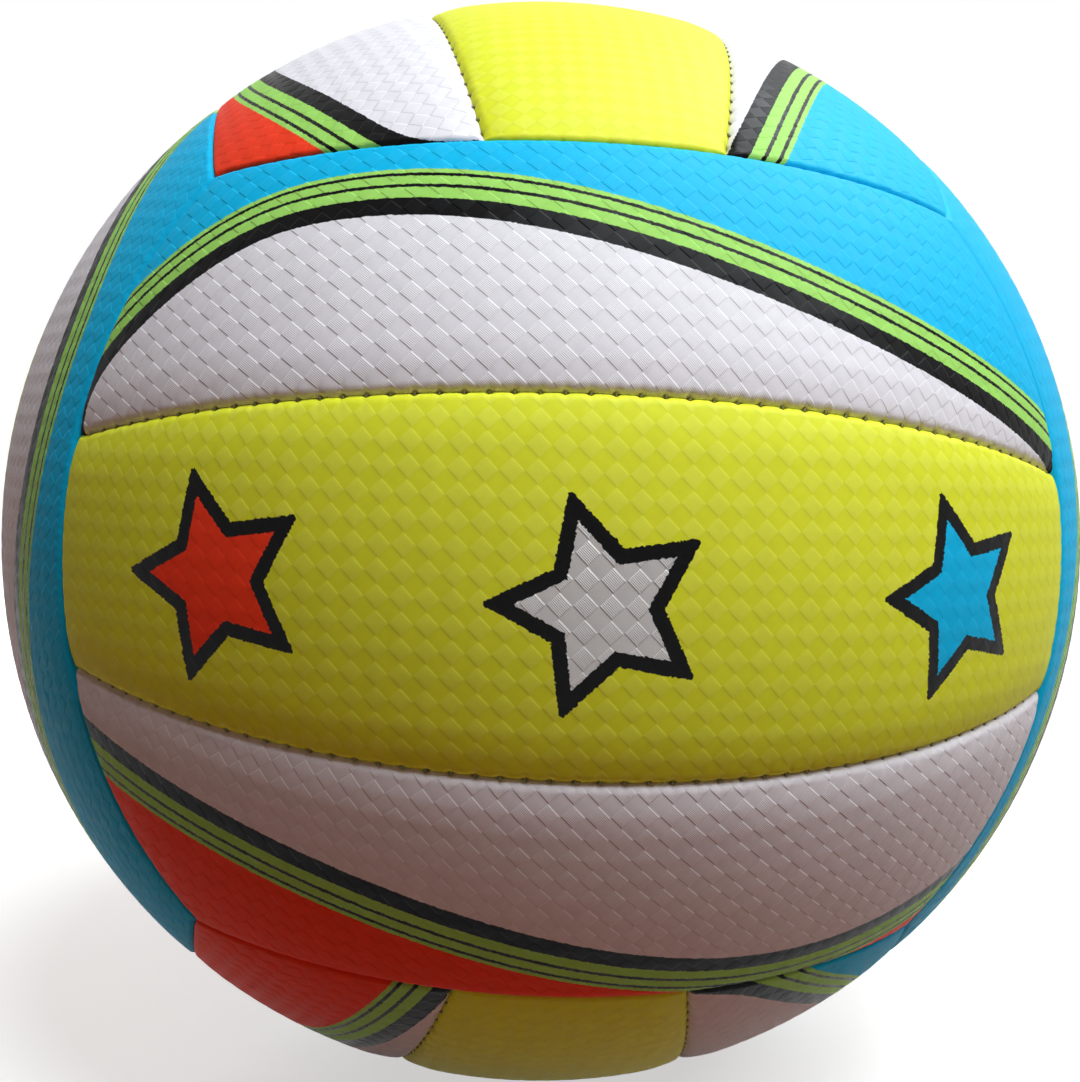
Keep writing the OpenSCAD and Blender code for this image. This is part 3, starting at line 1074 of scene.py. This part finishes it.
def dress_strips():
    """Replaces the eighteen skins by printed, embossed shells."""
    group = weave_group()
    leathers = {
        "blue": banded_leather("blue_leather", group, BLUE),
        "red": banded_leather("red_leather", group, RED),
        "yellow": plain_leather("yellow_leather", group, YELLOW),
        "stars": starred_leather("star_leather", group, YELLOW),
    }
    shells = {"outer": Shell(True), "middle": Shell(False), "valve": Shell(False, has_hole=True)}
    for group_name, group_turn, strips, slots in GROUPS:
        for strip, (strip_name, slot) in enumerate(zip(strips, slots)):
            name = f"{group_name}_{strip_name}"
            kind = "middle" if strip == MIDDLE else "outer"
            shell = shells["valve" if name == VALVE_STRIP else kind]
            leather = leathers["stars" if strip == MIDDLE and group_name in STAR_GROUPS else slot]
            piece = panel(name + "_cover", shell, strip_turn(group_turn, strip), leather)
            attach(piece, "root")
            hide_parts(name + "_panel")


def dress_seams():
    """Replaces the plain threads by single stitches."""
    thread = thread_material()
    _, strip_seam, _, _ = strip_seams(False)
    _, group_seam, _, _ = strip_seams(True)
    shown = stitches("strip_seam_stitches", strip_seam, END_ALONG, STRIP_STITCH, thread)
    deep = stitches("group_seam_stitches", group_seam, CORNER, GROUP_STITCH, thread)
    for piece, node in ((shown, "strip_seam_thread"), (deep, "group_seam_thread")):
        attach(piece, "root")
        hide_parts(node)


def dress_inside():
    """Gives the layers under the cover and the valve their materials, by a node's name or its last word."""
    materials = {
        "foam": mottled_material(FOAM),
        "lining": lining_material(),
        "bladder": mottled_material(BLADDER),
        "valve_housing": mottled_material(HOUSING),
        "valve_core": mottled_material(CORE),
    }
    for name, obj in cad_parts.items():
        kind = name if name in materials else name.split("_")[-1]
        if kind in materials:
            obj.data.materials.clear()
            obj.data.materials.append(materials[kind])


# Stage

BACKGROUND = (1, 1, 1, 1)
AMBIENT = (0.10, 0.062, 0.05, 1)
FLOOR_HALF = 2.0
FLOOR_DROP = 0.2 * MM
FLOOR_ROUGHNESS = 0.9
FLOOR_SEEN = (0.80, 0.80, 0.80, 1)
FLOOR_UNSEEN = (0.21, 0.10, 0.07, 1)
# The floor's own glow under the ball and far away, and the distances between which it changes
FLOOR_GLOW = (0.58, 1.0)
FLOOR_FADE = (0.15, 0.8)

# Round lamps that face the ball. Gloss doesn't show the back one, and the last one shows in gloss alone.
LAMP_COLOUR = (0.94, 1.0, 1.03)
Lamp = namedtuple("Lamp", "name place size power diffuse glossy", defaults=(True, True))
LAMPS = (
    Lamp("top", (0.1, -0.1, 1.0), 0.5, 0.8),
    Lamp("front", (0.15, -0.45, 0.88), 0.5, 8.0),
    Lamp("right", (0.6, -0.4, 0.7), 0.5, 3.8),
    Lamp("back", (-0.3, 0.95, 0.35), 0.5, 3.8, glossy=False),
    Lamp("sheen", (0.48, 0.02, 0.88), 0.9, 18.0, diffuse=False),
)

# Camera's place and the picture's height, found from the seams and the outline of the ball
PICTURE_H = 1082
FOCAL_PX = 1450.3
SENSOR = 36.0
CAMERA_DISTANCE = 2.8663 * BALL_R
CAMERA_AZIMUTH = radians(-5.57)
CAMERA_ELEVATION = radians(3.749)
CAMERA_ROLL = radians(2.284)


def sees_background(tree):
    """1 for rays that show the background: from the camera, or mirrored or passed on by gloss and glass."""
    rays = add_node(tree, "LightPath")
    passed_on = calc("MAXIMUM", rays["Is Glossy Ray"], rays["Is Transmission Ray"])
    return calc("MAXIMUM", rays["Is Camera Ray"], passed_on)


def build_world():
    world = bpy.data.worlds.new("studio")
    bpy.context.scene.world = world
    world.use_nodes = True
    tree = world.node_tree
    feed_node(tree.nodes["Background"], Color=mix(sees_background(tree), AMBIENT, BACKGROUND))


def floor_material():
    """Pale material that shows as white away from the ball and keeps the ball's shadow."""
    material, tree, shader = new_material("floor")
    seen = sees_background(tree)
    away = add_node(tree, "VectorMath", {"operation": "LENGTH"}, Vector=object_place(tree))["Value"]
    glow = add_node(tree, "MapRange", {"interpolation_type": "SMOOTHSTEP"}, Value=away,
                    From_Min=FLOOR_FADE[0], From_Max=FLOOR_FADE[1],
                    To_Min=FLOOR_GLOW[0], To_Max=FLOOR_GLOW[1])["Result"]
    feed_node(shader, Base_Color=mix(seen, FLOOR_UNSEEN, FLOOR_SEEN), Roughness=FLOOR_ROUGHNESS,
              Specular_IOR_Level=0.0, Emission_Color=BACKGROUND, Emission_Strength=seen * glow)
    return material


def build_floor():
    level = cad_box[0].z - FLOOR_DROP
    points = [(x * FLOOR_HALF, y * FLOOR_HALF, level) for x, y in ((-1, -1), (1, -1), (1, 1), (-1, 1))]
    floor = add_object("floor", new_mesh("floor", points, [(0, 1, 2, 3)], floor_material()))


def build_lamp(lamp):
    data = bpy.data.lights.new(lamp.name, "AREA")
    data.shape = "DISK"
    data.size = lamp.size
    data.energy = lamp.power
    data.color = LAMP_COLOUR
    holder = add_object(lamp.name, data)
    holder.location = lamp.place
    holder.rotation_euler = (-Vector(lamp.place)).to_track_quat("-Z", "Y").to_euler()
    holder.visible_diffuse = lamp.diffuse
    holder.visible_glossy = lamp.glossy


def build_camera():
    data = bpy.data.cameras.new("camera")
    data.sensor_width = SENSOR
    data.lens = FOCAL_PX * SENSOR / PICTURE_H
    camera = add_object("camera", data)
    level = cos(CAMERA_ELEVATION)
    away = Vector((sin(CAMERA_AZIMUTH) * level, -cos(CAMERA_AZIMUTH) * level, sin(CAMERA_ELEVATION)))
    upright = away.to_track_quat("Z", "Y").to_matrix()
    turned = upright @ Matrix.Rotation(CAMERA_ROLL, 3, "Z")
    camera.matrix_world = Matrix.Translation(away * CAMERA_DISTANCE) @ turned.to_4x4()
    bpy.context.scene.camera = camera


bpy.context.scene.view_settings.view_transform = "Standard"
build_camera()
build_world()
build_floor()
for studio_lamp in LAMPS:
    build_lamp(studio_lamp)
dress_strips()
dress_seams()
dress_inside()
